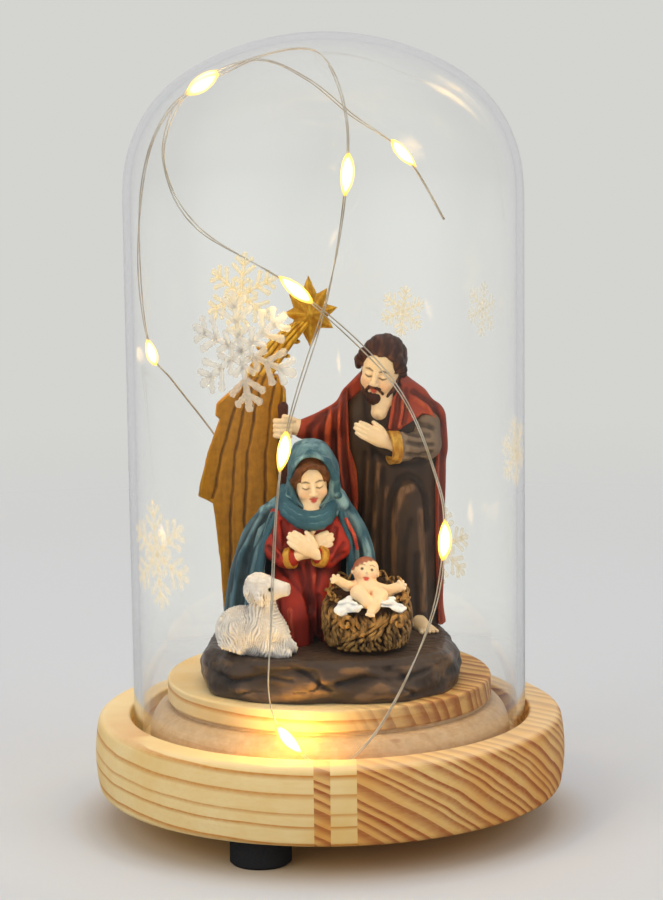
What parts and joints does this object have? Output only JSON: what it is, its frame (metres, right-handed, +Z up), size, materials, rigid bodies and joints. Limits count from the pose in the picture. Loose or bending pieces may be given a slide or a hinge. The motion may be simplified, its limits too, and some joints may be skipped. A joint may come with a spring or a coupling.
{
  "type": "nativity under glass dome",
  "caption": "Painted nativity group on a turned pine base, under a lift-off glass cloche with snowflakes, lit by a battery string of warm micro lights.",
  "frame": {"origin": "centre of the base, on the plane of the feet's undersides", "axes": "+Z up along the axis of the dome, -Y towards the front of the nativity, +X to its right as seen from the front"},
  "size_m": [0.12, 0.12, 0.1986],
  "materials": {
    "pine": "fine-sanded pine, clear matt",
    "pine_plinth": "fine-sanded pine, matt",
    "rubber": "matt black",
    "glass": "clear blown glass",
    "snow": "white glitter print",
    "rock_paint": "painted resin, dry-brushed",
    "cloak_paint": "painted resin, satin",
    "staff_paint": "painted resin, satin",
    "mantle_paint": "painted resin, satin",
    "straw_paint": "painted resin, dry-brushed",
    "white_paint": "painted resin",
    "skin_paint": "painted resin",
    "wool_paint": "painted resin",
    "gold_paint": "gold paint on resin",
    "wire": "silvered enamelled wire",
    "light_drop": "clear epoxy drop, lit warm white",
    "box_plastic": "moulded, fine texture",
    "cell": "printed sleeve",
    "contact": "nickel plated",
    "steel": "zinc plated",
    "switch_metal": "tinned shell",
    "knob_plastic": "moulded",
    "resistor": "lacquered"
  },
  "bodies": {
    "base": {"wood_base": "pine", "plinth": "pine_plinth", "rubber_feet": "rubber", "rock_base": "rock_paint", "joseph_figure": "cloak_paint", "staff": "staff_paint", "mary_figure": "mantle_paint", "manger": "straw_paint", "swaddling_cloth": "white_paint", "infant_figure": "skin_paint", "lamb": "wool_paint", "hut": "gold_paint", "comet_star": "gold_paint", "light_wire": "wire", "led_beads": "light_drop", "battery_box": "box_plastic", "battery_cells": "cell", "battery_contacts": "contact", "box_screws": "steel", "switch_body": "switch_metal", "series_resistor": "resistor"},
    "dome": {"glass_dome": "glass", "snowflake_decals": "snow"},
    "door": {"battery_door": "box_plastic"},
    "switch": {"switch_knob": "knob_plastic"}
  },
  "joints": [
    {"name": "dome_lift", "type": "slide", "parent": "base", "child": "dome", "axis": [0, 0, 1], "range_m": [0, 0.19]},
    {"name": "door_hinge", "type": "hinge", "parent": "base", "child": "door", "pos_m": [0.0248, 0, 0.0088], "axis": [0, -1, 0], "range_deg": [0, 95]},
    {"name": "switch_slide", "type": "slide", "parent": "base", "child": "switch", "axis": [0, 1, 0], "range_m": [0, 0.004]}
  ]
}
